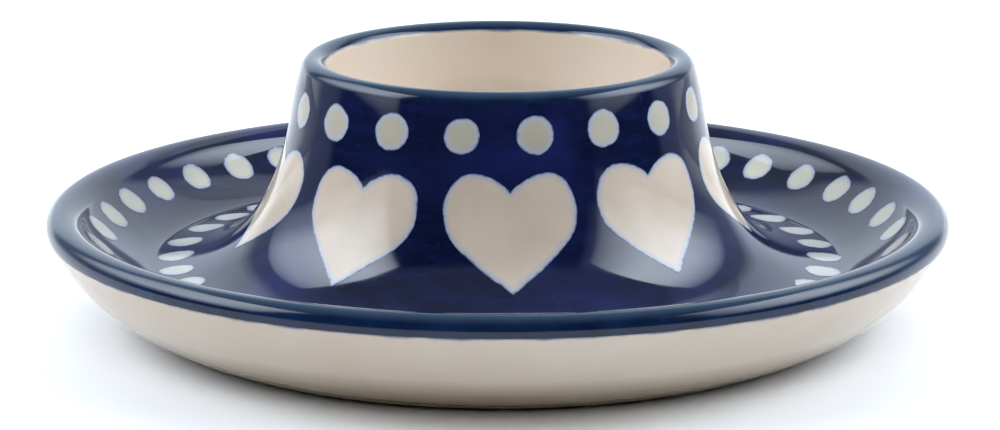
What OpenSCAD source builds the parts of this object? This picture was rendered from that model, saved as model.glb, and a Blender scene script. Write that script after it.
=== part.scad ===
// Egg cup and saucer in one fired stoneware piece, painted in cobalt under a clear glaze.
// The origin is on the table under the centre of the foot, and +Z points up.
// Every surface is a surface of revolution. Its section is one path, walked from the
// centre of the egg bowl over both lips to the foot and back to the centre underneath.

/* [Saucer] */
// Diameter across the rolled lip of the saucer
saucer_d = 125; // [104:1:148]
// Height of the top of the saucer's lip
saucer_h = 16.4; // [14:0.1:19]
// Thickness of the saucer's rolled lip
saucer_lip_t = 4; // [3.4:0.1:4.8]
// Height of the lowest circle of the well round the cup
well_h = 8.3; // [7.5:0.1:10]

/* [Cup] */
// Height of the cup's lip above the table
cup_h = 37.1; // [31:0.1:44]
// Diameter across the cup's lip
cup_lip_d = 54.4; // [48:0.2:62]
// Thickness of the cup's rolled lip
cup_lip_t = 3.5; // [3:0.1:4]
// How far the cup's wall stands outside its lip where the flare starts
shoulder_out = 1.9; // [1:0.1:3]
// Height of the bowl's floor at its centre
bowl_floor_h = 8.6; // [7.2:0.1:10]
// Thickness of the fired wall with its glaze
wall_t = 4.6; // [3.9:0.1:5.4]

/* [Foot] */
// Width of the flat of the ring that stands on the table
foot_w = 3.4; // [2.8:0.1:4]

/* [Glaze and colour] */
// Thickness of the glaze and colour on the clay
glaze_t = 0.4; // [0.3:0.05:0.6]
// How far the band on the saucer's lip reaches below its widest circle, in degrees
band_drop_angle = 20; // [5:1:24]

/* [Painted marks] */
// Hearts round the cup
hearts = 9; // [7:1:11]
// Turn of the hearts from the front, in degrees
heart_turn_angle = 3; // [-20:1:20]
// Dots round the cup, above the hearts
cup_dots = 18; // [12:1:24]
// Diameter of a dot on the cup and near the saucer's lip
dot_d = 5; // [3.8:0.1:5.4]
// Dots in the well, round the foot of the cup
well_dots = 36; // [24:1:42]
// Diameter of a dot in the well
well_dot_d = 5.2; // [4:0.1:5.8]
// Dots near the saucer's lip
rim_dots = 40; // [28:1:48]

/* [Hidden] */

// Facets of a full turn where a plain preview needs them
$fn = 96;
// Straight steps along one curve of the section
curve_steps = 16;
// Straight steps along one curve of a heart
heart_steps = 5;
// Height of bare clay between the table and the edge of the glaze
bare_h = 0.9;
// How far a cutting solid reaches past the surface that it cuts
overrun = 2;

// Places of the main circles: the flare's start as a share of the rise from the well to
// the lip, the well as a share of the way out from there, the foot as a share of the saucer
shoulder_rise_share = 0.6385;
well_out_share = 0.5566;
foot_out_share = 0.741;

// Slope of the cup's straight wall, outward per unit of fall
wall_slope_share = 0.22;
// Radius of the inner shoulder of the saucer's lip, as a share of half the lip's thickness
lip_inner_share = 1.8;
// Angles on the two lips, from their widest circles: where the cup's band of colour starts
// inside, where its wall leaves, where the well's surface arrives, where the underside leaves
cup_band_angle = 152;
cup_wall_angle = 15;
lip_inner_angle = 150;
lip_outer_angle = -27;
// Angle above the table at which the underside arrives at the foot
foot_rise_angle = 19.9;

// Lengths of the curves' handles, as shares of the straight distance between their ends
bowl_floor_share = 0.364;
bowl_top_share = 0.476;
wall_pull_share = 0.322;
flare_top_share = 0.62;
flare_well_share = 0.275;
well_pull_share = 0.191;
rim_pull_share = 0.314;
under_top_share = 0.383;
foot_pull_share = 0.366;
fillet_pull_share = 0.39;
crotch_pull_share = 0.31;

// Hearts: their tips and height as shares of the flare's rise, and their width as a share
// of what each has of the way round the flare's start
heart_tip_share = 0.2224;
heart_rise_share = 0.7885;
heart_width_share = 0.861;
// Rings of dots: the cup's as a share of the straight wall's rise, the well's as a share of
// the way back in from its lowest circle to the flare's start, and the one near the
// saucer's lip as a share of the way out from that circle to the lip
cup_dot_rise_share = 0.55;
well_dot_in_share = 0.134;
rim_dot_out_share = 0.785;

// Turn of each ring of dots from the front, as a share of the angle between its dots
cup_dot_turn_share = 0.5;
well_dot_turn_share = 0;
rim_dot_turn_share = 0;

// Places of the divisions between the clay pieces, as shares of their curves
bowl_seat_share = 0.62;
groove_share = 0.25;
join_share = 0.7;
glaze_end_share = 0.88;
foot_seat_share = 0.75;
foot_seat_in_share = 0.4;

// Outline of half a heart: shares of the half width and of the height above the tip
heart_shares = [
    [[0, 0.85], [0.12, 0.93], [0.33, 1], [0.54, 1]],
    [[0.54, 1], [0.8, 1], [1, 0.86], [1, 0.64]],
    [[1, 0.64], [1, 0.46], [0.9, 0.36], [0, 0]]
];

// A path is a list of points [radius, height, and the outward normal's two parts].
// It is walked with the clay on the right, so the normal is on the left of the walk.
function unit(v) = v / norm(v);
function bezier(c, t) =
    c[0] * pow(1 - t, 3) + c[1] * 3 * pow(1 - t, 2) * t
    + c[2] * 3 * (1 - t) * pow(t, 2) + c[3] * pow(t, 3);
function bezier_way(c, t) =
    (c[1] - c[0]) * pow(1 - t, 2) + (c[2] - c[1]) * 2 * (1 - t) * t
    + (c[3] - c[2]) * pow(t, 2);
function curve(c) = [
    for (i = [0:curve_steps])
    let (t = i / curve_steps, p = bezier(c, t), way = unit(bezier_way(c, t)))
    [p[0], p[1], -way[1], way[0]]
];
// Curve between two points, with the ways in which it leaves and arrives, and its handles
function bend(start, start_way, start_share, end, end_way, end_share) =
    let (span = norm(end - start))
    curve([
        start,
        start + start_share * span * start_way,
        end - end_share * span * end_way,
        end
    ]);
function arc(centre, r, from_a, to_a) = [
    for (i = [0:curve_steps])
    let (a = from_a + (to_a - from_a) * i / curve_steps)
    [centre[0] + r * cos(a), centre[1] + r * sin(a), cos(a), sin(a)]
];
// Place of a path's point, and the way in which the path goes on from it
function spot(p) = [p[0], p[1]];
function way_on(p) = [p[3], -p[2]];
// Stretch of a path between two of its points
function stretch(path, first, last) = [for (i = [first:last]) path[i]];
// The same path, with the clay on its other side and a depth away
function far_side(path, depth) = [
    for (i = [len(path) - 1:-1:0])
    [path[i][0] - depth * path[i][2], path[i][1] - depth * path[i][3],
        -path[i][2], -path[i][3]]
];
// Points of a path, a depth below its surface
function sunk(path, depth) = [
    for (p = path) [p[0] - depth * p[2], p[1] - depth * p[3]]
];
function backwards(points) = [for (i = [len(points) - 1:-1:0]) points[i]];
// Paths that follow each other, without the point that each shares with the next
function joined(paths) = [
    for (n = [0:len(paths) - 1])
    for (i = [(n == 0 ? 0 : 1):len(paths[n]) - 1])
    paths[n][i]
];
function step_at(share) = round(share * curve_steps);

// Section of the finished surface
outward = [1, 0];
upward = [0, 1];
cup_lip_r = cup_lip_t / 2;
cup_lip_c = [cup_lip_d / 2 - cup_lip_r, cup_h - cup_lip_r];
lip_r = saucer_lip_t / 2;
lip_c = [saucer_d / 2 - lip_r, saucer_h - lip_r];
lip_inner_r = lip_inner_share * lip_r;
lip_inner_c = lip_c - [0, lip_inner_r - lip_r];
bowl_mouth = [cup_lip_c[0] - cup_lip_r, cup_lip_c[1]];
wall_top = cup_lip_c + cup_lip_r * [cos(cup_wall_angle), sin(cup_wall_angle)];
wall_top_way = [sin(cup_wall_angle), -cos(cup_wall_angle)];
shoulder_r = cup_lip_d / 2 + shoulder_out;
shoulder_h = well_h + shoulder_rise_share * (cup_h - well_h);
shoulder = [shoulder_r, shoulder_h];
shoulder_way = unit([wall_slope_share, -1]);
well = [shoulder_r + well_out_share * (saucer_d / 2 - shoulder_r), well_h];
rim_in = lip_inner_c + lip_inner_r * [cos(lip_inner_angle), sin(lip_inner_angle)];
rim_in_way = [sin(lip_inner_angle), -cos(lip_inner_angle)];
rim_out = lip_c + lip_r * [cos(lip_outer_angle), sin(lip_outer_angle)];
rim_out_way = [sin(lip_outer_angle), -cos(lip_outer_angle)];
foot_out = [foot_out_share * saucer_d / 2, 0];
foot_way = -[cos(foot_rise_angle), sin(foot_rise_angle)];
foot_in_r = foot_out[0] - foot_w;

bowl_path = bend([0, bowl_floor_h], outward, bowl_floor_share,
    bowl_mouth, upward, bowl_top_share);
cup_lip_in_path = arc(cup_lip_c, cup_lip_r, 180, cup_band_angle);
cup_lip_path = arc(cup_lip_c, cup_lip_r, cup_band_angle, cup_wall_angle);
wall_path = bend(wall_top, wall_top_way, wall_pull_share,
    shoulder, shoulder_way, wall_pull_share);
flare_path = bend(shoulder, shoulder_way, flare_top_share,
    well, outward, flare_well_share);
saucer_path = bend(well, outward, well_pull_share,
    rim_in, rim_in_way, rim_pull_share);
lip_inner_path = arc(lip_inner_c, lip_inner_r, lip_inner_angle, 90);
lip_band_path = arc(lip_c, lip_r, 90, -band_drop_angle);
lip_under_path = arc(lip_c, lip_r, -band_drop_angle, lip_outer_angle);
under_path = bend(rim_out, rim_out_way, under_top_share,
    foot_out, foot_way, foot_pull_share);

bowl_seat = step_at(bowl_seat_share);
groove = step_at(groove_share);
join = step_at(join_share);
glaze_end = step_at(glaze_end_share);
foot_seat = step_at(foot_seat_share);
foot_seat_in = step_at(foot_seat_in_share);

// Underside, from the foot up into the hollow round the bowl and back to the centre
groove_path = far_side(stretch(flare_path, groove, join), wall_t);
bowl_under_path = far_side(stretch(bowl_path, 0, bowl_seat), wall_t);
plate_edge = groove_path[0];
groove_top = groove_path[len(groove_path) - 1];
bowl_side = bowl_under_path[0];
fillet_path = bend([foot_in_r, bare_h], upward, fillet_pull_share,
    spot(plate_edge), way_on(plate_edge), fillet_pull_share);
crotch_path = bend(spot(groove_top), way_on(groove_top), crotch_pull_share,
    spot(bowl_side), way_on(bowl_side), crotch_pull_share);

// Solid of revolution from its section's points
module turned(points) {
    rotate_extrude() polygon(points);
}

// Glaze between the finished surface of a path and the clay under it
module skin(path) {
    turned(concat(sunk(path, 0), backwards(sunk(path, glaze_t))));
}

// Clay pieces
module egg_bowl() {
    inside = stretch(bowl_path, 0, bowl_seat);
    color("#cdbfae")
    turned(concat(sunk(inside, glaze_t), backwards(sunk(inside, wall_t - glaze_t))));
}

module cup_wall() {
    outside = joined([
        stretch(bowl_path, bowl_seat, curve_steps),
        cup_lip_in_path,
        cup_lip_path,
        wall_path,
        stretch(flare_path, 0, join)
    ]);
    underside = joined([groove_path, crotch_path]);
    color("#c6b7a4") turned(concat(sunk(outside, glaze_t), sunk(underside, glaze_t)));
}

module saucer_plate() {
    top = joined([
        stretch(flare_path, join, curve_steps),
        saucer_path,
        lip_inner_path,
        lip_band_path,
        lip_under_path,
        stretch(under_path, 0, foot_seat)
    ]);
    color("#c9bba8") turned(concat(sunk(top, glaze_t), sunk(stretch(
        fillet_path, foot_seat_in, curve_steps), glaze_t)));
}

module foot_ring() {
    outside = stretch(under_path, foot_seat, glaze_end);
    bare = stretch(under_path, glaze_end, curve_steps);
    inside = stretch(fillet_path, 0, foot_seat_in);
    color("#b9a68d") turned(concat(
        sunk(outside, glaze_t),
        sunk(bare, 0),
        [[foot_in_r, 0], [foot_in_r, bare_h]],
        sunk(inside, glaze_t)
    ));
}

// Glaze and colour
module bowl_glaze() {
    color("#d8cdc0") skin(joined([bowl_path, cup_lip_in_path]));
}

module cup_lip_band() {
    color("#21344a") skin(cup_lip_path);
}

module cup_coat_whole() {
    skin(joined([wall_path, stretch(flare_path, 0, join)]));
}

module saucer_coat_whole() {
    skin(joined([stretch(flare_path, join, curve_steps), saucer_path, lip_inner_path]));
}

module cup_coat() {
    color("#161d4c") difference() {
        cup_coat_whole();
        heart_cutters();
        cup_dot_cutters();
    }
}

module saucer_coat() {
    color("#161d4c") difference() {
        saucer_coat_whole();
        well_dot_cutters();
        rim_dot_cutters();
    }
}

module saucer_lip_band() {
    color("#173052") skin(lip_band_path);
}

module outer_glaze() {
    color("#cfc6bb") skin(joined([lip_under_path, stretch(under_path, 0, glaze_end)]));
}

module base_glaze() {
    color("#cbc1b4") skin(joined([fillet_path, groove_path, crotch_path, bowl_under_path]));
}

// Shapes that divide the marks from the colour round them
heart_tip_h = well_h + heart_tip_share * (shoulder_h - well_h);
heart_h = heart_rise_share * (shoulder_h - well_h);
heart_half_w = heart_width_share * shoulder_r * PI / hearts;
module heart_outline() {
    half = [
        for (n = [0:len(heart_shares) - 1])
        for (i = [(n == 0 ? 0 : 1):heart_steps])
        let (p = bezier(heart_shares[n], i / heart_steps))
        [p[0] * heart_half_w, heart_tip_h + p[1] * heart_h]
    ];
    mirrored = [for (i = [len(half) - 2:-1:1]) [-half[i][0], half[i][1]]];
    polygon(concat(half, mirrored));
}

module heart_cutters() {
    for (i = [0:hearts - 1]) {
        rotate([0, 0, heart_turn_angle + i * 360 / hearts])
        rotate([90, 0, 0])
        linear_extrude(saucer_d / 2)
        heart_outline();
    }
}

// Ring of round cutters, counted from the front, that stand square to the surface at one
// point of its section
module dot_ring(place, count, d, turn_share) {
    for (i = [0:count - 1]) {
        rotate([0, 0, (i + turn_share) * 360 / count - 90])
        translate([place[0], 0, place[1]])
        rotate([0, atan2(place[2], place[3]), 0])
        cylinder(h = 2 * overrun, d = d, center = true);
    }
}

// Point of a path at a height, and at a radius
function at_height(path, h) = [
    for (k = [0, 1, 2, 3]) k == 1 ? h : lookup(h, [for (p = path) [p[1], p[k]]])
];
function at_radius(path, r) = [
    for (k = [0, 1, 2, 3]) k == 0 ? r : lookup(r, [for (p = path) [p[0], p[k]]])
];

module cup_dot_cutters() {
    rise = wall_top[1] - shoulder_h;
    place = at_height(wall_path, shoulder_h + cup_dot_rise_share * rise);
    dot_ring(place, cup_dots, dot_d, cup_dot_turn_share);
}

module well_dot_cutters() {
    way_in = well[0] - shoulder_r;
    place = at_radius(flare_path, well[0] - well_dot_in_share * way_in);
    dot_ring(place, well_dots, well_dot_d, well_dot_turn_share);
}

module rim_dot_cutters() {
    way_out = rim_in[0] - well[0];
    place = at_radius(saucer_path, well[0] + rim_dot_out_share * way_out);
    dot_ring(place, rim_dots, dot_d, rim_dot_turn_share);
}

// Marks, flush with the colour round them
module heart_marks() {
    color("#d8d2cb") intersection() {
        cup_coat_whole();
        heart_cutters();
    }
}

module cup_dot_marks() {
    color("#d6d4c6") intersection() {
        cup_coat_whole();
        cup_dot_cutters();
    }
}

module well_dot_marks() {
    color("#d6d6d8") intersection() {
        saucer_coat_whole();
        well_dot_cutters();
    }
}

module rim_dot_marks() {
    color("#d6d4c8") intersection() {
        saucer_coat_whole();
        rim_dot_cutters();
    }
}

egg_bowl();
cup_wall();
saucer_plate();
foot_ring();
bowl_glaze();
cup_lip_band();
cup_coat();
saucer_coat();
saucer_lip_band();
outer_glaze();
base_glaze();
heart_marks();
cup_dot_marks();
well_dot_marks();
rim_dot_marks();
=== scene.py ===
import math
import bpy
import numpy as np
from mathutils import Matrix, Vector
from mathutils.geometry import delaunay_2d_cdt


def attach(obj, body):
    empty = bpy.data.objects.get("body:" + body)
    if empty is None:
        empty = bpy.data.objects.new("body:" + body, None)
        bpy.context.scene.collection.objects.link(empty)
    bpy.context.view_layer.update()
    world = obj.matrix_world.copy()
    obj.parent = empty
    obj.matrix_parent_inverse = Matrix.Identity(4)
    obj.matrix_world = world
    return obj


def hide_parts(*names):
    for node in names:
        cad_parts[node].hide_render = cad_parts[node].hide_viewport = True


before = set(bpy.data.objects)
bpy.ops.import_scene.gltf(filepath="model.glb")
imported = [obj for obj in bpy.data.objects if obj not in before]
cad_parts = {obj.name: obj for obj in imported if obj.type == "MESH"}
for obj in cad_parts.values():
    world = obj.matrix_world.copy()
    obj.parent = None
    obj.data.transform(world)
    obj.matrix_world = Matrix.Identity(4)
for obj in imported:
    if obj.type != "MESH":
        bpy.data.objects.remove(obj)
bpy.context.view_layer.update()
print("frame loaded with", len(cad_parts), "nodes")

mm = 0.001
fullTurn = 2 * math.pi


def feed(tree, socket, value):
    # a socket takes a link from another socket or a plain value, and a plain colour gets its alpha here
    if isinstance(value, bpy.types.NodeSocket):
        tree.links.new(value, socket)
    elif socket.type == "RGBA":
        socket.default_value = (*value, 1)
    else:
        socket.default_value = value


def addNode(tree, kind, inputs=None, **settings):
    node = tree.nodes.new(kind)
    for key, value in settings.items():
        setattr(node, key, value)
    for key, value in (inputs or {}).items():
        feed(tree, node.inputs[key], value)
    return node


def firstOut(tree, kind, inputs=None, **settings):
    return addNode(tree, kind, inputs, **settings).outputs[0]


def mathNode(tree, operation, a, b=None):
    inputs = {0: a} if b is None else {0: a, 1: b}
    return firstOut(tree, "ShaderNodeMath", inputs, operation=operation)


def vectorNode(tree, operation, a, b=None):
    # b is a number for SCALE and a vector for the others
    inputs = {0: a}
    if b is not None:
        inputs["Scale" if operation == "SCALE" else 1] = b
    return firstOut(tree, "ShaderNodeVectorMath", inputs, operation=operation)


def vectorOf(tree, x, y, z):
    return firstOut(tree, "ShaderNodeCombineXYZ", {0: x, 1: y, 2: z})


def partsOf(tree, vector):
    return addNode(tree, "ShaderNodeSeparateXYZ", {0: vector}).outputs


def turnNode(tree, vector, angle):
    return firstOut(tree, "ShaderNodeVectorRotate", {"Vector": vector, "Angle": angle},
                    rotation_type="Z_AXIS")


def geometryTree(name, inputs, output):
    # an empty tree with its named inputs, each a name, a kind and perhaps a default
    tree = bpy.data.node_groups.new(name, "GeometryNodeTree")
    for label, kind, *default in inputs:
        socket = tree.interface.new_socket(label, in_out="INPUT", socket_type="NodeSocket" + kind)
        if default:
            socket.default_value = default[0]
    tree.interface.new_socket(output, in_out="OUTPUT", socket_type="NodeSocketGeometry")
    return tree, addNode(tree, "NodeGroupInput").outputs, addNode(tree, "NodeGroupOutput").inputs


def closeTree(tree, geometry, ins, out):
    # welded, with smooth faces and sharp corners, then made plain geometry with its finish
    weld = firstOut(tree, "GeometryNodeMergeByDistance", {"Geometry": geometry, "Distance": ins["Weld"]})
    smooth = firstOut(tree, "GeometryNodeSetShadeSmooth", {"Geometry": weld, "Shade Smooth": True},
                      domain="FACE")
    angle = firstOut(tree, "GeometryNodeInputMeshEdgeAngle")
    sharp = firstOut(tree, "FunctionNodeCompare", {0: angle, 1: ins["Sharp Angle"]},
                     data_type="FLOAT", operation="GREATER_THAN")
    corners = firstOut(tree, "GeometryNodeSetShadeSmooth",
                       {"Geometry": smooth, "Selection": sharp, "Shade Smooth": False}, domain="EDGE")
    real = firstOut(tree, "GeometryNodeRealizeInstances", {"Geometry": corners})
    dressed = firstOut(tree, "GeometryNodeSetMaterial", {"Geometry": real, "Material": ins["Finish"]})
    feed(tree, out[0], dressed)


def newObject(name, data):
    obj = bpy.data.objects.new(name, data)
    bpy.context.scene.collection.objects.link(obj)
    return obj


def bakeNodes(obj, tree, values):
    # runs the tree on the object and keeps the result as a plain mesh
    modifier = obj.modifiers.new("shape", "NODES")
    modifier.node_group = tree
    for item in tree.interface.items_tree:
        if item.item_type == "SOCKET" and item.in_out == "INPUT" and item.name in values:
            modifier[item.identifier] = values[item.name]
    bpy.context.view_layer.update()
    graph = bpy.context.evaluated_depsgraph_get()
    mesh = bpy.data.meshes.new_from_object(obj.evaluated_get(graph), preserve_all_data_layers=True,
                                           depsgraph=graph)
    mesh.name = obj.name
    obj.modifiers.clear()
    drawn, obj.data = obj.data, mesh
    bpy.data.meshes.remove(drawn)


def loopEdges(count):
    return [(i, (i + 1) % count) for i in range(count)]


# the cup's section in millimetres and degrees, with the same sizes as the CAD source
cup = {
    "saucerD": 125, "saucerH": 16.4, "saucerLipT": 4, "wellH": 8.3,
    "cupH": 37.1, "cupLipD": 54.4, "cupLipT": 3.5, "shoulderOut": 1.9,
    "bowlFloorH": 8.6, "wallT": 4.6, "footW": 3.4, "glazeT": 0.4, "bareH": 0.9,
    "bandDropAngle": 20, "cupBandAngle": 152, "cupWallAngle": 15,
    "lipInnerAngle": 150, "lipOuterAngle": -27, "footRiseAngle": 19.9,
    "lipInnerShare": 1.8, "shoulderRise": 0.6385, "wellOut": 0.5566, "footOut": 0.741, "wallSlope": 0.22,
}
# shares of the curves' straight distances that their handles take
pulls = {
    "bowlFloor": 0.364, "bowlTop": 0.476, "wall": 0.322, "flareTop": 0.62, "flareWell": 0.275,
    "well": 0.191, "rim": 0.314, "underTop": 0.383, "foot": 0.366, "fillet": 0.39, "crotch": 0.31,
}
# where the CAD pieces part, as shares along their curves
parting = {"join": 11 / 16, "groove": 4 / 16, "bowlSeat": 10 / 16, "glazeEnd": 14 / 16,
           "footSeat": 12 / 16, "footSeatIn": 6 / 16}
# steps along each part of the section
pathSteps = {
    "bowl": 44, "cupLipIn": 6, "cupLip": 40, "wall": 22, "flare": 48, "saucer": 30, "lipInner": 24,
    "lipBand": 36, "lipUnder": 3, "under": 40, "groove": 14, "bowlUnder": 24, "fillet": 18, "crotch": 14,
}
hiddenKeepEvery = 3  # a skin's hidden side keeps every third of these points


def unit(v):
    return np.array(v, float) / np.linalg.norm(v)


def around(angle):
    return np.array([math.cos(math.radians(angle)), math.sin(math.radians(angle))])


def wayFrom(angle):
    # the way in which a clockwise walk round a lip leaves it
    return np.array([math.sin(math.radians(angle)), -math.cos(math.radians(angle))])


def bendControls(start, startWay, startPull, end, endWay, endPull):
    start, end = np.array(start, float), np.array(end, float)
    span = np.linalg.norm(end - start)
    return [start, start + startPull * span * unit(startWay), end - endPull * span * unit(endWay), end]


def curvePoint(controls, t):
    a, b, c, d = controls
    return a * (1 - t) ** 3 + b * 3 * (1 - t) ** 2 * t + c * 3 * (1 - t) * t * t + d * t ** 3


def curvePath(controls, steps, first=0.0, last=1.0):
    # points [radius, height, outward normal] along one curve, with the clay on the right
    a, b, c, d = controls
    path = []
    for t in np.linspace(first, last, steps + 1):
        p = curvePoint(controls, t)
        way = unit((b - a) * (1 - t) ** 2 + (c - b) * 2 * (1 - t) * t + (d - c) * t * t)
        path.append([p[0], p[1], -way[1], way[0]])
    return path


def arcPath(centre, r, fromAngle, toAngle, steps):
    path = []
    for angle in np.linspace(fromAngle, toAngle, steps + 1):
        n = around(angle)
        path.append([centre[0] + r * n[0], centre[1] + r * n[1], n[0], n[1]])
    return path


def farSide(path, depth):
    # the other side of the clay, walked the other way
    return [[p[0] - depth * p[2], p[1] - depth * p[3], -p[2], -p[3]] for p in reversed(path)]


def joinPaths(*paths):
    whole = list(paths[0])
    for path in paths[1:]:
        whole += path[1:]
    return whole


def sunk(path, depth):
    return [[p[0] - depth * p[2], p[1] - depth * p[3]] for p in path]


# centres and radii of the lips, and the places where the section's curves meet
cupLipR = cup["cupLipT"] / 2
cupLipC = np.array([cup["cupLipD"] / 2 - cupLipR, cup["cupH"] - cupLipR])
lipR = cup["saucerLipT"] / 2
lipC = np.array([cup["saucerD"] / 2 - lipR, cup["saucerH"] - lipR])
lipInnerR = cup["lipInnerShare"] * lipR
lipInnerC = lipC - np.array([0, lipInnerR - lipR])
bowlMouth = [cupLipC[0] - cupLipR, cupLipC[1]]
wallTop = cupLipC + cupLipR * around(cup["cupWallAngle"])
shoulderR = cup["cupLipD"] / 2 + cup["shoulderOut"]
shoulderH = cup["wellH"] + cup["shoulderRise"] * (cup["cupH"] - cup["wellH"])
shoulder, shoulderWay = [shoulderR, shoulderH], [cup["wallSlope"], -1]
well = [shoulderR + cup["wellOut"] * (cup["saucerD"] / 2 - shoulderR), cup["wellH"]]
rimIn = lipInnerC + lipInnerR * around(cup["lipInnerAngle"])
rimOut = lipC + lipR * around(cup["lipOuterAngle"])
footOut, footWay = [cup["footOut"] * cup["saucerD"] / 2, 0], -around(cup["footRiseAngle"])
footInR = footOut[0] - cup["footW"]

# from the middle of the bowl over both lips to the foot
bowlCurve = bendControls([0, cup["bowlFloorH"]], [1, 0], pulls["bowlFloor"],
                         bowlMouth, [0, 1], pulls["bowlTop"])
wallCurve = bendControls(wallTop, wayFrom(cup["cupWallAngle"]), pulls["wall"],
                         shoulder, shoulderWay, pulls["wall"])
flareCurve = bendControls(shoulder, shoulderWay, pulls["flareTop"], well, [1, 0], pulls["flareWell"])
saucerCurve = bendControls(well, [1, 0], pulls["well"], rimIn, wayFrom(cup["lipInnerAngle"]), pulls["rim"])
underCurve = bendControls(rimOut, wayFrom(cup["lipOuterAngle"]), pulls["underTop"],
                          footOut, footWay, pulls["foot"])
bowlPath = curvePath(bowlCurve, pathSteps["bowl"])
cupLipInPath = arcPath(cupLipC, cupLipR, 180, cup["cupBandAngle"], pathSteps["cupLipIn"])
cupLipPath = arcPath(cupLipC, cupLipR, cup["cupBandAngle"], cup["cupWallAngle"], pathSteps["cupLip"])
wallPath = curvePath(wallCurve, pathSteps["wall"])
flarePath = curvePath(flareCurve, pathSteps["flare"])
saucerPath = curvePath(saucerCurve, pathSteps["saucer"])
lipInnerPath = arcPath(lipInnerC, lipInnerR, cup["lipInnerAngle"], 90, pathSteps["lipInner"])
lipBandPath = arcPath(lipC, lipR, 90, -cup["bandDropAngle"], pathSteps["lipBand"])
lipUnderPath = arcPath(lipC, lipR, -cup["bandDropAngle"], cup["lipOuterAngle"], pathSteps["lipUnder"])
underPath = curvePath(underCurve, pathSteps["under"], 0, parting["glazeEnd"])

# back underneath: up the foot's inner side, along the groove and to the middle of the bowl
groovePath = farSide(curvePath(flareCurve, pathSteps["groove"], parting["groove"], parting["join"]),
                     cup["wallT"])
bowlUnderPath = farSide(curvePath(bowlCurve, pathSteps["bowlUnder"], 0, parting["bowlSeat"]), cup["wallT"])
plateEdge, grooveTop, bowlSide = groovePath[0], groovePath[-1], bowlUnderPath[0]
filletCurve = bendControls([footInR, cup["bareH"]], [0, 1], pulls["fillet"],
                           plateEdge[:2], [plateEdge[3], -plateEdge[2]], pulls["fillet"])
crotchCurve = bendControls(grooveTop[:2], [grooveTop[3], -grooveTop[2]], pulls["crotch"],
                           bowlSide[:2], [bowlSide[3], -bowlSide[2]], pulls["crotch"])
filletPath = curvePath(filletCurve, pathSteps["fillet"])
crotchPath = curvePath(crotchCurve, pathSteps["crotch"])
print("section drawn")


def makeTurnTree():
    # turns a closed section into a solid of revolution
    tree, ins, out = geometryTree("turnOnWheel", [
        ("Section", "Geometry"), ("Steps Round", "Int", 288), ("Weld", "Float", 0.000001),
        ("Sharp Angle", "Float", 0.6), ("Finish", "Material")], "Solid")
    count = addNode(tree, "GeometryNodeAttributeDomainSize", {"Geometry": ins["Section"]})
    points = count.outputs["Point Count"]
    # a grid with one column for each point of the section, and one row for each step round
    rows = mathNode(tree, "ADD", ins["Steps Round"], 1.0)
    columns = mathNode(tree, "ADD", points, 1.0)
    grid = firstOut(tree, "GeometryNodeMeshGrid", {"Vertices X": columns, "Vertices Y": rows})
    # the half and the quarter keep each index clear of the next whole number
    index = firstOut(tree, "GeometryNodeInputIndex")
    column = mathNode(tree, "FLOOR", mathNode(tree, "DIVIDE", mathNode(tree, "ADD", index, 0.5), rows))
    row = mathNode(tree, "SUBTRACT", index, mathNode(tree, "MULTIPLY", column, rows))
    place = mathNode(tree, "MODULO", mathNode(tree, "ADD", column, 0.25), points)
    sample = firstOut(tree, "GeometryNodeSampleIndex",
                      {"Geometry": ins["Section"], "Value": firstOut(tree, "GeometryNodeInputPosition"),
                       "Index": mathNode(tree, "FLOOR", place)}, data_type="FLOAT_VECTOR", domain="POINT")
    turn = mathNode(tree, "DIVIDE", mathNode(tree, "MULTIPLY", row, fullTurn), ins["Steps Round"])
    spun = firstOut(tree, "GeometryNodeSetPosition",
                    {"Geometry": grid, "Position": turnNode(tree, sample, turn)})
    closeTree(tree, spun, ins, out)
    return tree


turnTree = makeTurnTree()


def turnPiece(name, loop, finish, nodes, slot):
    # loop: closed section [radius, height] in millimetres, anticlockwise seen from the front
    mesh = bpy.data.meshes.new(name)
    mesh.from_pydata([(p[0] * mm, 0, p[1] * mm) for p in loop], loopEdges(len(loop)), [])
    obj = newObject(name, mesh)
    bakeNodes(obj, turnTree, {"Finish": finish})
    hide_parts(*nodes)
    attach(obj, "root")
    return obj


def skinLoop(path):
    # along the side that shows, and back on the clay with fewer points
    hidden = path[::hiddenKeepEvery]
    if (len(path) - 1) % hiddenKeepEvery:
        hidden.append(path[-1])
    return sunk(path, 0) + sunk(hidden, cup["glazeT"])[::-1]


def newFinish(name):
    mat = bpy.data.materials.new(name)
    mat.use_nodes = True
    tree = mat.node_tree
    return mat, tree, tree.nodes["Principled BSDF"], addNode(tree, "ShaderNodeTexCoord").outputs["Object"]


def noise(tree, coords, scale, detail, roughness=0.5, distortion=0.0):
    return firstOut(tree, "ShaderNodeTexNoise", {"Vector": coords, "Scale": scale, "Detail": detail,
                                                 "Roughness": roughness, "Distortion": distortion})


def ramp(tree, factor, stops):
    node = addNode(tree, "ShaderNodeValToRGB", {0: factor})
    elements = node.color_ramp.elements
    while len(elements) < len(stops):
        elements.new(0.5)
    for element, (position, colour) in zip(elements, stops):
        element.position = position
        element.color = (*colour, 1)
    return node.outputs[0]


def mixColour(tree, factor, a, b, blend="MIX"):
    node = addNode(tree, "ShaderNodeMix", data_type="RGBA", blend_type=blend)
    for key, value in (("Factor", factor), ("A", a), ("B", b)):
        feed(tree, node.inputs[key], value)
    return node.outputs["Result"]


def mapRange(tree, value, low, high, toLow=0.0, toHigh=1.0, kind="LINEAR"):
    return firstOut(tree, "ShaderNodeMapRange", dict(enumerate((value, low, high, toLow, toHigh))),
                    interpolation_type=kind)


def layOver(tree, base, colour, pattern, low, high, most=1.0):
    # the colour comes in as the pattern goes from low to high, up to most
    return mixColour(tree, mapRange(tree, pattern, low, high, 0.0, most), base, colour)


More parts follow.
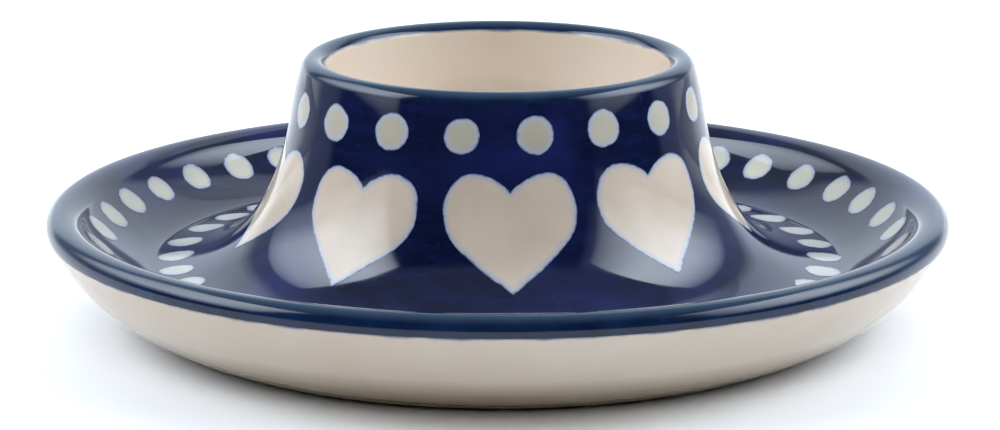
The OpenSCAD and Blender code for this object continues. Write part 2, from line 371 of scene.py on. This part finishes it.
def bumpNode(tree, height, distance, strength=1.0, over=None):
    node = addNode(tree, "ShaderNodeBump", {"Strength": strength, "Distance": distance, "Height": height})
    if over is not None:
        feed(tree, node.inputs["Normal"], over)
    return node.outputs[0]


# in all finishes a noise is given as scale, detail, roughness and distortion, tones as places and colours
# on a noise, and a range as where a colour comes in, where it is full, and how much it covers
noiseSpan = (0.3, 0.7)  # most of a noise lies between these

glazeLook = {
    "waves": (70, 2.0), "waveDepth": 0.00003, "peel": (700, 2.0), "peelDepth": 0.0000006,
    "patches": (260, 3.0), "rough": (0.04, 0.09), "ior": 1.52,
}


def glazeSurface(tree, shader, coords, look):
    # gloss of a fired glaze: slow waves, fine orange peel, and roughness that varies a little
    waves = bumpNode(tree, noise(tree, coords, *look["waves"]), look["waveDepth"])
    peel = bumpNode(tree, noise(tree, coords, *look["peel"]), look["peelDepth"], over=waves)
    feed(tree, shader.inputs["Normal"], peel)
    patches = noise(tree, coords, *look["patches"])
    feed(tree, shader.inputs["Roughness"], mapRange(tree, patches, *noiseSpan, *look["rough"]))
    feed(tree, shader.inputs["IOR"], look["ior"])


cobaltLook = {
    "clouds": (55, 4.0, 0.55, 0.6),
    "tones": [(0.34, (0.0028, 0.0050, 0.022)), (0.52, (0.0050, 0.0084, 0.036)),
              (0.72, (0.011, 0.016, 0.088))],
    "strokes": (160, 3.0, 0.6), "strokeStretch": (1, 1, 5), "strokeRange": (0.45, 0.75, 0.45),
    "strokeColour": (0.011, 0.016, 0.088),
    "specks": (1500, 1.0), "speckRange": (0.68, 0.76, 0.15), "speckColour": (0.03, 0.045, 0.16),
}


def makeCobalt():
    mat, tree, shader, coords = newFinish("cobaltGlaze")
    look = cobaltLook
    base = ramp(tree, noise(tree, coords, *look["clouds"]), look["tones"])
    # brushed colour: streaks that run round the wheel
    stretched = firstOut(tree, "ShaderNodeMapping", {"Vector": coords, "Scale": look["strokeStretch"]})
    strokes = noise(tree, stretched, *look["strokes"])
    base = layOver(tree, base, look["strokeColour"], strokes, *look["strokeRange"])
    specks = noise(tree, coords, *look["specks"])
    base = layOver(tree, base, look["speckColour"], specks, *look["speckRange"])
    feed(tree, shader.inputs["Base Color"], base)
    glazeSurface(tree, shader, coords, glazeLook)
    return mat


edgeLook = {
    "clouds": (180, 4.0, 0.6), "tones": [(0.3, (0.0022, 0.0075, 0.027)), (0.7, (0.0055, 0.019, 0.058))],
    "wornColour": (0.045, 0.080, 0.115), "wornDepth": 0.7, "wornMost": 0.6,
    "rough": (0.07, 0.13), "ior": 1.43,
}


def makeEdge(name, topHeight):
    # colour on a lip, greener than the ground and worn thin at its top
    mat, tree, shader, coords = newFinish(name)
    look = edgeLook
    base = ramp(tree, noise(tree, coords, *look["clouds"]), look["tones"])
    height = partsOf(tree, coords)[2]
    base = layOver(tree, base, look["wornColour"], height,
                   (topHeight - look["wornDepth"]) * mm, topHeight * mm, look["wornMost"])
    feed(tree, shader.inputs["Base Color"], base)
    glazeSurface(tree, shader, coords, {**glazeLook, "rough": look["rough"], "ior": look["ior"]})
    return mat


ivoryLook = {
    "clouds": (45, 4.0, 0.55), "tones": [(0.35, (0.63, 0.52, 0.415)), (0.65, (0.67, 0.58, 0.48))],
    "specks": (1300, 1.0), "speckRange": (0.74, 0.80, 0.25), "speckColour": (0.30, 0.24, 0.18),
    # painted shade towards the foot: full below 3.6 mm of height, gone above 6.9 mm
    "footPaintedShade": (0.62, 0.58, 0.50), "footPaintedShadeReach": (3.6, 6.9),
    "ragged": (240, 3.0), "blueReach": (-0.35, 0.05), "blueColour": (0.05, 0.085, 0.16),
}


def makeIvory(name, paintedLightLevel, blueLine=None):
    # clear glaze on pale clay, with fine iron specks. The blue line is the height where blue runs over
    # its edge, and how far it strays from that height
    mat, tree, shader, coords = newFinish(name)
    look = ivoryLook
    # painted light and shade: each piece's tones are scaled by its own level
    tones = [(at, [paintedLightLevel * c for c in colour]) for at, colour in look["tones"]]
    base = ramp(tree, noise(tree, coords, *look["clouds"]), tones)
    specks = noise(tree, coords, *look["specks"])
    base = layOver(tree, base, look["speckColour"], specks, *look["speckRange"])
    height = partsOf(tree, coords)[2]
    # painted shade: the glaze darkens towards the foot, in the shade under the saucer
    shade = layOver(tree, look["footPaintedShade"], (1, 1, 1), height, *[h * mm for h in look["footPaintedShadeReach"]])
    base = mixColour(tree, 1.0, base, shade, "MULTIPLY")
    if blueLine:
        level, stray = blueLine
        ragged = noise(tree, coords, *look["ragged"])
        raised = mathNode(tree, "ADD", height, mapRange(tree, ragged, *noiseSpan, -stray * mm, stray * mm))
        base = layOver(tree, base, look["blueColour"], raised, *[(level + h) * mm for h in look["blueReach"]])
    feed(tree, shader.inputs["Base Color"], base)
    glazeSurface(tree, shader, coords, glazeLook)
    return mat


# depths here are millimetres in from a mark's edge
markLook = {
    "ragged": (1400, 3.0), "stray": 0.10, "clouds": (150, 3.0), "cloudEnds": (0.35, 0.68), "ior": 1.42,
    "rim": (0.030, 0.045, 0.140), "rimReach": (-0.05, 0.25),
    "fringe": (0.36, 0.40, 0.49), "fringeReach": (0.15, 0.85),
}


def makeMark(name, inside, shade):
    # pale mark left in the blue: its edge goes through a thin blue fringe
    mat, tree, shader, coords = newFinish(name)
    look = markLook
    depth = addNode(tree, "ShaderNodeAttribute", attribute_type="GEOMETRY", attribute_name="edge")
    ragged = mapRange(tree, noise(tree, coords, *look["ragged"]), *noiseSpan, -look["stray"], look["stray"])
    uneven = mathNode(tree, "ADD", depth.outputs["Fac"], ragged)
    pale = ramp(tree, noise(tree, coords, *look["clouds"]), list(zip(look["cloudEnds"], (inside, shade))))
    fringe = layOver(tree, look["fringe"], pale, uneven, *look["fringeReach"])
    feed(tree, shader.inputs["Base Color"], layOver(tree, look["rim"], fringe, uneven, *look["rimReach"]))
    glazeSurface(tree, shader, coords, {**glazeLook, "ior": look["ior"]})
    return mat


clayLook = {
    "clouds": (220, 5.0, 0.6), "tones": [(0.32, (0.33, 0.25, 0.17)), (0.66, (0.50, 0.40, 0.29))],
    "grit": (2600, 2.0), "gritRange": (0.62, 0.74, 0.6), "gritColour": (0.16, 0.11, 0.07),
    "grain": (1800, 4.0, 0.7), "grainDepth": 0.00005, "grainStrength": 0.7, "rough": 0.85,
}


def makeClay():
    mat, tree, shader, coords = newFinish("bareClay")
    look = clayLook
    base = ramp(tree, noise(tree, coords, *look["clouds"]), look["tones"])
    grit = noise(tree, coords, *look["grit"])
    feed(tree, shader.inputs["Base Color"], layOver(tree, base, look["gritColour"], grit, *look["gritRange"]))
    grain = noise(tree, coords, *look["grain"])
    feed(tree, shader.inputs["Normal"], bumpNode(tree, grain, look["grainDepth"], look["grainStrength"]))
    feed(tree, shader.inputs["Roughness"], look["rough"])
    return mat


# how bright each ivory piece is painted, and its blue line, in millimetres. The one glaze is painted lighter
# inside the bowl and darker underneath, as painted light and shade
ivoryPieces = {
    "ivoryInside": (0.97, (cup["cupH"] - cupLipR + 0.75, 0.12)),
    "ivoryUnder": (0.82, (13.72, 0.16)),
    "ivoryBase": (0.82, None),
}
# each kind of mark's inside and its shade
markTones = {
    "heartIvory": ((0.595, 0.49, 0.39), (0.53, 0.432, 0.34)),
    "cupDotIvory": ((0.435, 0.40, 0.32), (0.40, 0.365, 0.295)),
    "rimDotIvory": ((0.55, 0.54, 0.45), (0.50, 0.49, 0.415)),
    "wellDotIvory": ((0.53, 0.53, 0.49), (0.48, 0.475, 0.455)),
}
cobalt = makeCobalt()
cupEdgeBlue = makeEdge("cupEdgeGlaze", cup["cupH"])
saucerEdgeBlue = makeEdge("saucerEdgeGlaze", cup["saucerH"])
ivory = {name: makeIvory(name, *look) for name, look in ivoryPieces.items()}
markIvory = {name: makeMark(name, *tones) for name, tones in markTones.items()}
clay = makeClay()
print("finishes mixed")

# skins of glaze and colour: name, path, finish, the CAD nodes that it stands for, and slot
skins = [
    ("cupInside", joinPaths(bowlPath, cupLipInPath), ivory["ivoryInside"], ["bowl_glaze"], "clear_glaze"),
    ("cupLip", cupLipPath, cupEdgeBlue, ["cup_lip_band"], "edge_glaze"),
    ("blueGround", joinPaths(wallPath, flarePath, saucerPath, lipInnerPath), cobalt,
     ["cup_coat", "saucer_coat"], "cobalt_glaze"),
    ("saucerLip", lipBandPath, saucerEdgeBlue, ["saucer_lip_band"], "edge_glaze"),
    ("saucerUnder", joinPaths(lipUnderPath, underPath), ivory["ivoryUnder"], ["outer_glaze"], "clear_glaze"),
    ("cupUnder", joinPaths(filletPath, groovePath, crotchPath, bowlUnderPath), ivory["ivoryBase"],
     ["base_glaze"], "clear_glaze"),
]
turned = {name: turnPiece(name, skinLoop(path), *rest) for name, path, *rest in skins}

# steps, shares and millimetres: bareEnd is where the bare flank ends, and from there the worn corner runs in
footRing = {"seatSteps": 6, "sideSteps": 8, "bareEnd": 0.985, "wornIn": 0.25, "wornDown": 0.3, "flatIn": 0.55,
            "cornerR": 0.35, "cornerSteps": 5}


def footLoop():
    # glazed seat, bare flank, two worn corners on the table, and the inner side
    ring = footRing
    seat = curvePath(underCurve, ring["seatSteps"], parting["footSeat"], parting["glazeEnd"])
    bare = sunk(curvePath(underCurve, ring["sideSteps"], parting["glazeEnd"], ring["bareEnd"]), 0)
    endR, endH = bare[-1]
    outerCorner = [[endR - ring["wornIn"], endH * ring["wornDown"]], [endR - ring["flatIn"], 0]]
    r = ring["cornerR"]
    innerCorner = [[footInR + r - r * math.sin(a), r - r * math.cos(a)]
                   for a in np.linspace(0, math.pi / 2, ring["cornerSteps"] + 1)]
    inner = curvePath(filletCurve, ring["sideSteps"], 0, parting["footSeatIn"])
    return (sunk(seat, cup["glazeT"]) + bare + outerCorner + innerCorner
            + [[footInR, cup["bareH"]]] + sunk(inner, cup["glazeT"]))


turnPiece("foot", footLoop(), clay, ["foot_ring"], "bare_clay")
for hiddenClay in ("egg_bowl", "cup_wall", "saucer_plate"):
    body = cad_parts[hiddenClay]
    body.data.materials.clear()
    body.data.materials.append(clay)
print("turned pieces made")


def randomNode(tree, reach, seed):
    # a number between -reach and reach for each point
    node = addNode(tree, "FunctionNodeRandomValue", {"Seed": seed}, data_type="FLOAT")
    low, high = [socket for socket in node.inputs if socket.type == "VALUE"][:2]
    feed(tree, low, mathNode(tree, "MULTIPLY", reach, -1.0))
    feed(tree, high, reach)
    return [socket for socket in node.outputs if socket.type == "VALUE"][0]


def storeNode(tree, geometry, name, value):
    return firstOut(tree, "GeometryNodeStoreNamedAttribute",
                    {"Geometry": geometry, "Name": name, "Value": value}, data_type="FLOAT", domain="POINT")


def namedNode(tree, name):
    node = addNode(tree, "GeometryNodeInputNamedAttribute", {"Name": name}, data_type="FLOAT")
    return node.outputs["Attribute"]


def captureNode(tree, geometry, vectors):
    # its outputs are the geometry, and then each vector as it is now
    node = addNode(tree, "GeometryNodeCaptureAttribute", domain="POINT")
    for name in vectors:
        node.capture_items.new("VECTOR", name)
    for socket, value in zip(node.inputs, (geometry, *vectors.values())):
        feed(tree, socket, value)
    return node.outputs


def makeRingTree():
    # sets copies of one flat mark round a surface, each a little uneven
    tree, ins, out = geometryTree("paintRing", [
        ("Mark", "Geometry"), ("Surface", "Object"), ("Count", "Int", 9), ("First Turn", "Float", 0.0),
        ("Radius", "Float", 0.03), ("Height", "Float", 0.03), ("Tilt", "Float", 0.0),
        ("Lift", "Float", 0.0), ("Lean", "Float", 0.0), ("Shift", "Vector", (0, 0, 0)),
        ("Stand Off", "Float", 0.002), ("Ray Length", "Float", 0.05), ("Depth", "Float", 0.0003),
        ("Proud", "Float", 0.00002), ("Wobble", "Float", 0.0007), ("Wobble Scale", "Float", 300.0),
        ("Wobble Detail", "Float", 2.0), ("Wobble Step", "Float", 0.037), ("Turn Jitter", "Float", 0.0),
        ("Size Jitter", "Float", 0.0), ("Seed", "Int", 1), ("Size Seed Step", "Float", 17.0),
        ("Weld", "Float", 0.0000005), ("Sharp Angle", "Float", 0.6), ("Finish", "Material")], "Marks")

    # a point for each mark, with its turn and number
    points = firstOut(tree, "GeometryNodePoints", {"Count": ins["Count"]})
    index = firstOut(tree, "GeometryNodeInputIndex")
    share = mathNode(tree, "DIVIDE", mathNode(tree, "MULTIPLY", index, fullTurn), ins["Count"])
    turn = mathNode(tree, "ADD", mathNode(tree, "ADD", share, ins["First Turn"]),
                    randomNode(tree, ins["Turn Jitter"], ins["Seed"]))
    points = storeNode(tree, points, "ringTurn", turn)
    points = storeNode(tree, points, "markNumber", index)
    sizeSeed = mathNode(tree, "ADD", ins["Seed"], ins["Size Seed Step"])
    size = mathNode(tree, "ADD", 1.0, randomNode(tree, ins["Size Jitter"], sizeSeed))
    copies = firstOut(tree, "GeometryNodeInstanceOnPoints",
                      {"Points": points, "Instance": ins["Mark"], "Scale": vectorOf(tree, size, size, size)})
    flatMarks = firstOut(tree, "GeometryNodeRealizeInstances", {"Geometry": copies})

    # the hand's unevenness, different for each mark
    flat = firstOut(tree, "GeometryNodeInputPosition")
    number = mathNode(tree, "ADD", namedNode(tree, "markNumber"), ins["Seed"])
    level = vectorOf(tree, 0.0, 0.0, mathNode(tree, "MULTIPLY", number, ins["Wobble Step"]))
    wobble = addNode(tree, "ShaderNodeTexNoise",
                     {"Vector": vectorNode(tree, "ADD", flat, level), "Scale": ins["Wobble Scale"],
                      "Detail": ins["Wobble Detail"]})
    uneven = vectorNode(tree, "SUBTRACT", wobble.outputs["Color"], (0.5, 0.5, 0.5))
    drawn = partsOf(tree, vectorNode(tree, "ADD", flat, vectorNode(tree, "SCALE", uneven, ins["Wobble"])))
    across, up = drawn[0], drawn[1]

    # stand each mark outside the surface, facing it
    cosTilt = mathNode(tree, "COSINE", ins["Tilt"])
    sinTilt = mathNode(tree, "SINE", ins["Tilt"])
    away = vectorOf(tree, 0.0, mathNode(tree, "MULTIPLY", cosTilt, -1.0), sinTilt)
    ringTurn = namedNode(tree, "ringTurn")
    raised = mathNode(tree, "MULTIPLY", mathNode(tree, "SINE", ringTurn), ins["Lean"])
    up = mathNode(tree, "ADD", up, mathNode(tree, "ADD", raised, ins["Lift"]))
    local = vectorOf(tree, across,
                     mathNode(tree, "SUBTRACT", mathNode(tree, "MULTIPLY", up, sinTilt), ins["Radius"]),
                     mathNode(tree, "ADD", mathNode(tree, "MULTIPLY", up, cosTilt), ins["Height"]))
    start = vectorNode(tree, "ADD", local, vectorNode(tree, "SCALE", away, ins["Stand Off"]))
    start = vectorNode(tree, "ADD", turnNode(tree, start, ringTurn), ins["Shift"])
    towards = turnNode(tree, vectorNode(tree, "SCALE", away, -1.0), ringTurn)

    # where it meets the glaze, and which way the glaze faces there
    target = addNode(tree, "GeometryNodeObjectInfo", {"Object": ins["Surface"]}, transform_space="ORIGINAL")
    facing = captureNode(tree, target.outputs["Geometry"],
                         {"facing": firstOut(tree, "GeometryNodeInputNormal")})
    ray = addNode(tree, "GeometryNodeRaycast",
                  {"Target Geometry": facing[0], "Attribute": facing[1], "Source Position": start,
                   "Ray Direction": towards, "Ray Length": ins["Ray Length"]},
                  data_type="FLOAT_VECTOR", mapping="INTERPOLATED").outputs
    kept = captureNode(tree, flatMarks, {"hit": ray["Hit Position"], "normal": ray["Attribute"]})
    hit, normal = kept[1], vectorNode(tree, "NORMALIZE", kept[2])

    # a closed chip of glaze: base in the blue, top a hair above it
    low = vectorNode(tree, "SUBTRACT", hit, vectorNode(tree, "SCALE", normal, ins["Depth"]))
    high = vectorNode(tree, "ADD", hit, vectorNode(tree, "SCALE", normal, ins["Proud"]))
    base = firstOut(tree, "GeometryNodeSetPosition", {"Geometry": kept[0], "Position": low})
    pull = addNode(tree, "GeometryNodeExtrudeMesh", {"Mesh": base, "Offset Scale": 0.0, "Individual": False},
                   mode="FACES").outputs
    top = firstOut(tree, "GeometryNodeSetPosition",
                   {"Geometry": pull["Mesh"], "Selection": pull["Top"], "Position": high})
    under = firstOut(tree, "GeometryNodeFlipFaces", {"Mesh": base})
    both = addNode(tree, "GeometryNodeJoinGeometry")
    for half in (top, under):
        feed(tree, both.inputs[0], half)
    closeTree(tree, both.outputs[0], ins, out)
    return tree


ringTree = makeRingTree()


def depthOf(outline, points):
    # how far each point lies from the outline
    depth = np.full(len(points), np.inf)
    for a, b in zip(outline, np.roll(outline, -1, axis=0)):
        along = np.clip(((points - a) @ (b - a)) / ((b - a) @ (b - a)), 0, 1)
        depth = np.minimum(depth, np.linalg.norm(points - (a + along[:, None] * (b - a)), axis=1))
    return depth


def isInside(outline, points):
    inside = np.zeros(len(points), bool)
    for a, b in zip(outline, np.roll(outline, -1, axis=0)):
        crosses = (a[1] > points[:, 1]) != (b[1] > points[:, 1])
        with np.errstate(divide="ignore", invalid="ignore"):
            x = a[0] + (points[:, 1] - a[1]) * (b[0] - a[0]) / (b[1] - a[1])
        inside ^= crosses & (points[:, 0] < x)
    return inside


def flatMark(outline, spacing):
    # fills an outline, in millimetres, with small triangles and notes how deep each point lies
    outline = np.array(outline, float)
    low, high = outline.min(0), outline.max(0)
    rowGap = spacing * math.sqrt(3) / 2
    grid = np.array([(x + (spacing / 2 if row % 2 else 0), y)
                     for row, y in enumerate(np.arange(low[1], high[1], rowGap))
                     for x in np.arange(low[0], high[0], spacing)])
    grid = grid[isInside(outline, grid)]
    grid = grid[depthOf(outline, grid) > spacing / 2]
    points = [tuple(p) for p in np.vstack([outline, grid])]
    insideOnly, weld = 1, 1e-6
    made = delaunay_2d_cdt(points, loopEdges(len(outline)), [], insideOnly, weld)
    verts, faces = np.array([tuple(v) for v in made[0]]), made[2]
    mesh = bpy.data.meshes.new("flatMark")
    mesh.from_pydata([(x * mm, y * mm, 0) for x, y in verts], [], faces)
    depth = mesh.attributes.new("edge", "FLOAT", "POINT")
    depth.data.foreach_set("value", depthOf(outline, verts).astype(np.float32))
    return mesh


def paintRing(name, mark, finish, node, paint):
    obj = newObject(name, mark)
    bakeNodes(obj, ringTree, {**paint, "Surface": turned["blueGround"], "Finish": finish})
    if "ringTurn" in obj.data.attributes:
        obj.data.attributes.remove(obj.data.attributes["ringTurn"])
    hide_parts(node)
    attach(obj, "root")


# tipShare and riseShare are shares of the height from the well to the shoulder, and widthShare of the room
# that each heart has. paint goes to the tree, in metres: Lean lifts the marks on the right and lowers those on
# the left
hearts = {
    "widthShare": 0.861, "tipShare": 0.2224, "riseShare": 0.7885, "spacing": 0.45, "curveSteps": 16,
    "paint": {"Count": 9, "First Turn": math.radians(3), "Radius": 0.044, "Stand Off": 0.0,
              "Wobble": 0.0008, "Wobble Scale": 160.0, "Lift": -0.0002, "Lean": 0.00076,
              "Turn Jitter": math.radians(0.5), "Size Jitter": 0.012, "Seed": 4},
}
# half a heart, as curves in shares of its half width and height
heartShares = [
    [[0, 0.85], [0.12, 0.93], [0.33, 1], [0.54, 1]],
    [[0.54, 1], [0.8, 1], [1, 0.86], [1, 0.64]],
    [[1, 0.64], [1, 0.46], [0.9, 0.36], [0, 0]],
]


def heartOutline():
    height = hearts["riseShare"] * (shoulderH - cup["wellH"])
    halfWidth = hearts["widthShare"] * shoulderR * math.pi / hearts["paint"]["Count"]
    half = []
    for shares in heartShares:
        controls = [np.array(c, float) for c in shares]
        for t in np.linspace(0, 1, hearts["curveSteps"] + 1)[(1 if half else 0):]:
            p = curvePoint(controls, t)
            half.append((p[0] * halfWidth, p[1] * height))
    return list(reversed(half)) + [(-x, y) for x, y in half[1:-1]]


tipHeight = cup["wellH"] + hearts["tipShare"] * (shoulderH - cup["wellH"])
paintRing("heartMarks", flatMark(heartOutline(), hearts["spacing"]), markIvory["heartIvory"], "heart_marks",
          {**hearts["paint"], "Height": tipHeight * mm})

# each ring of dots lies on a path, at a share of the way between two radii or two heights on it. firstStep
# turns the ring, in steps from dot to dot
byRadius, byHeight = 0, 1
dots = {"spacing": 0.5, "sides": 40, "paint": {"Wobble": 0.0007, "Wobble Scale": 300.0}}
dotRings = {
    "cupDotMarks": {
        "node": "cup_dot_marks", "finish": "cupDotIvory", "diameter": 5.0, "count": 18, "firstStep": 0.5,
        "path": wallPath, "by": byHeight, "between": (shoulderH, wallTop[1]), "share": 0.55,
        "paint": {"Turn Jitter": math.radians(0.5), "Size Jitter": 0.03, "Lean": 0.0005,
                  "Seed": 11}},
    "wellDotMarks": {
        "node": "well_dot_marks", "finish": "wellDotIvory", "diameter": 5.2, "count": 36, "firstStep": 0,
        "path": flarePath, "by": byRadius, "between": (well[0], shoulderR), "share": 0.134,
        "paint": {"Turn Jitter": math.radians(0.8), "Size Jitter": 0.04, "Shift": (0.00035, 0, 0),
                  "Seed": 23}},
    "rimDotMarks": {
        "node": "rim_dot_marks", "finish": "rimDotIvory", "diameter": 5.0, "count": 40, "firstStep": 0,
        "path": saucerPath, "by": byRadius, "between": (well[0], rimIn[0]), "share": 0.785,
        "paint": {"Turn Jitter": math.radians(0.5), "Size Jitter": 0.04, "Shift": (0.0001, 0, 0),
                  "Seed": 31}},
}


def dotOutline(diameter):
    turns = np.linspace(0, fullTurn, dots["sides"] + 1)[:-1]
    return [(diameter / 2 * math.cos(a), diameter / 2 * math.sin(a)) for a in turns]


def placeAt(path, key, value):
    # radius, height and tilt of the normal where the path has this radius or height
    rows = np.array(sorted(path, key=lambda p: p[key]))
    p = [np.interp(value, rows[:, key], rows[:, k]) for k in range(4)]
    return p[0], p[1], math.atan2(p[3], p[2])


for name, ring in dotRings.items():
    start, end = ring["between"]
    radius, height, tilt = placeAt(ring["path"], ring["by"], start + ring["share"] * (end - start))
    paintRing(name, flatMark(dotOutline(ring["diameter"]), dots["spacing"]), markIvory[ring["finish"]],
              ring["node"], {**dots["paint"], **ring["paint"], "Count": ring["count"],
                             "First Turn": ring["firstStep"] * fullTurn / ring["count"],
                             "Radius": radius * mm, "Height": height * mm, "Tilt": tilt})
print("marks painted")

floorLook = {"size": 3.0, "colour": (0.88, 0.875, 0.87), "rough": 0.9, "gloss": 0.1}


def makeFloor():
    half = floorLook["size"] / 2
    mesh = bpy.data.meshes.new("floor")
    mesh.from_pydata([(-half, -half, 0), (half, -half, 0), (half, half, 0), (-half, half, 0)], [],
                     [(0, 1, 2, 3)])
    mat = bpy.data.materials.new("paleFloor")
    mat.use_nodes = True
    shader = mat.node_tree.nodes["Principled BSDF"]
    for key, value in (("Base Color", floorLook["colour"]), ("Roughness", floorLook["rough"]),
                       ("Specular IOR Level", floorLook["gloss"])):
        feed(mat.node_tree, shader.inputs[key], value)
    mesh.materials.append(mat)
    newObject("floor", mesh)


def areaLight(name, light, power, colour=(1, 1, 1)):
    data = bpy.data.lights.new(name, "AREA")
    data.shape = "RECTANGLE"
    data.size, data.size_y = light["width"], light["height"]
    data.energy, data.color = power, colour
    lamp = newObject(name, data)
    lamp.location = light["place"]
    lamp.rotation_euler = (Vector(light["aim"]) - Vector(light["place"])).to_track_quat("-Z", "Y").to_euler()
    return lamp


# two soft boxes stand close by, left and right of the cup, and lit paper behind it. Strengths are what they
# show at their brightest. rise runs from their lower edges up, and across from left to right, seen from
# the cup
softBoxes = {
    "leftBox": {"place": (-0.40, 0.0375, 0.315), "aim": (0, 0.0375, 0.315), "width": 0.615, "height": 0.44,
                "strength": 7.3,
                "rise": [(0.0, 0.05), (0.04, 0.20), (0.11, 0.33), (0.165, 0.60), (0.24, 0.87), (0.38, 1.0)],
                "across": [(0.0, 0.0), (0.05, 0.55), (0.16, 0.84), (0.30, 1.0), (0.44, 0.90), (0.585, 0.72),
                           (0.69, 0.56), (0.80, 0.44), (0.967, 0.16), (1.0, 0.0)]},
    "rightBox": {"place": (0.32, -0.004, 0.25), "aim": (0, -0.004, 0.25), "width": 0.518, "height": 0.333,
                 "strength": 7.2,
                 "rise": [(0.0, 0.05), (0.02, 0.20), (0.07, 0.30), (0.13, 0.52), (0.21, 0.83), (0.39, 1.0)],
                 "across": [(0.0, 0.0), (0.075, 0.20), (0.19, 0.47), (0.29, 0.72), (0.385, 0.88), (0.55, 1.0),
                            (0.65, 0.90), (0.72, 0.75), (0.825, 0.53), (0.935, 0.28), (1.0, 0.0)]},
    "backPaper": {"place": (0, 0.35, 0.19), "aim": (0, 0, 0.19), "width": 0.62, "height": 0.38,
                  "strength": 0.80, "rise": [(0.0, 1.0), (0.78, 1.0), (1.0, 0.0)],
                  "across": [(0.0, 0.0), (0.12, 1.0), (0.88, 1.0), (1.0, 0.0)]},
    "backPaperHigh": {"place": (0.15, 0.35, 0.44), "aim": (0.15, 0, 0.44), "width": 0.32, "height": 0.30,
                      "strength": 0.80, "rise": [(0.0, 0.0), (0.30, 1.0), (0.80, 1.0), (1.0, 0.0)],
                      "across": [(0.0, 0.0), (0.18, 1.0), (0.80, 1.0), (1.0, 0.0)]},
}
boxTint = (0.905, 1.0, 1.11)


def greyRamp(tree, factor, stops):
    return ramp(tree, factor, [(at, (v, v, v)) for at, v in stops])


def makeSoftBoxes():
    for name, box in softBoxes.items():
        power = box["strength"] * math.pi * box["width"] * box["height"]
        lamp = areaLight(name, box, power, boxTint)
        lamp.visible_camera = False
        lamp.data.use_nodes = True
        tree = lamp.data.node_tree
        place = partsOf(tree, addNode(tree, "ShaderNodeNewGeometry").outputs["Parametric"])
        rising = greyRamp(tree, place[1], box["rise"])
        # a lamp's own x runs from right to left seen from the cup
        along = greyRamp(tree, place[0], [(1 - at, v) for at, v in reversed(box["across"])])
        feed(tree, tree.nodes["Emission"].inputs["Color"], mixColour(tree, 1.0, rising, along, "MULTIPLY"))


# weak lights that the glaze doesn't mirror: beside the camera, from both sides, and on the floor behind
fills = {
    "frontFill": {"place": (0.05, -0.70, 0.50), "aim": (0, 0, 0.02), "width": 0.5, "height": 0.3,
                  "power": 1.6},
    "leftFill": {"place": (-0.70, -0.20, 0.50), "aim": (0, 0, 0.02), "width": 0.4, "height": 0.4,
                 "power": 0.15},
    "rightFill": {"place": (0.70, -0.12, 0.50), "aim": (0, 0, 0.02), "width": 0.4, "height": 0.4,
                  "power": 0.3},
    "floorWash": {"place": (0, 0.9, 1.2), "aim": (0, 0.5, 0), "width": 1.6, "height": 0.8,
                  "power": 9.0},
}


def makeFills():
    for name, fill in fills.items():
        areaLight(name, fill, fill["power"]).visible_glossy = False


# the room by direction, in degrees: azimuth 0 lies behind the cup, positive to the right
room = [
    {"azimuth": (-200, 200), "height": (48, 100), "soft": 8, "colour": (0.26, 0.29, 0.35)},
    {"azimuth": (-118, 134), "height": (16, 56), "soft": 7, "colour": (0.315, 0.365, 0.42)},
    {"azimuth": (-82, 84), "height": (-30, 24), "soft": 7, "colour": (0.315, 0.365, 0.42)},
    {"azimuth": (-62, 66), "height": (-30, 7), "soft": 9, "colour": (1.11, 1.19, 1.25)},
]
roomDark = (0.004, 0.004, 0.005)


def makeWorld():
    world = bpy.data.worlds.new("studio")
    bpy.context.scene.world = world
    world.use_nodes = True
    tree = world.node_tree
    way = partsOf(tree, addNode(tree, "ShaderNodeTexCoord").outputs["Generated"])
    azimuth = mathNode(tree, "DEGREES", mathNode(tree, "ARCTAN2", way[0], way[1]))
    height = mathNode(tree, "DEGREES", mathNode(tree, "ARCSINE", way[2]))
    colour = roomDark
    for wall in room:
        mask = 1.0
        for value, (low, high) in ((azimuth, wall["azimuth"]), (height, wall["height"])):
            for start, end in ((low, low + wall["soft"]), (high, high - wall["soft"])):
                mask = mathNode(tree, "MULTIPLY", mask, mapRange(tree, value, start, end, kind="SMOOTHSTEP"))
        colour = mixColour(tree, mask, colour, wall["colour"])
    feed(tree, tree.nodes["Background"].inputs["Color"], colour)


# metres, degrees and, for the lens and the sensor, millimetres
cameraSetup = {"place": (0.00032, -0.4946, 0.1339), "pitch": 13.59, "roll": 0.109,
               "lens": 131.44, "sensor": 36, "clip": (0.01, 10)}


def makeCamera():
    data = bpy.data.cameras.new("camera")
    data.sensor_width = cameraSetup["sensor"]
    data.sensor_fit = "HORIZONTAL"
    data.lens = cameraSetup["lens"]
    data.clip_start, data.clip_end = cameraSetup["clip"]
    camera = newObject("camera", data)
    turn = (Matrix.Rotation(math.radians(90 - cameraSetup["pitch"]), 4, "X")
            @ Matrix.Rotation(math.radians(cameraSetup["roll"]), 4, "Z"))
    camera.matrix_world = Matrix.Translation(cameraSetup["place"]) @ turn
    bpy.context.scene.camera = camera


makeFloor()
makeSoftBoxes()
makeFills()
makeWorld()
makeCamera()
bpy.context.scene.view_settings.view_transform = "Standard"
print("studio set")
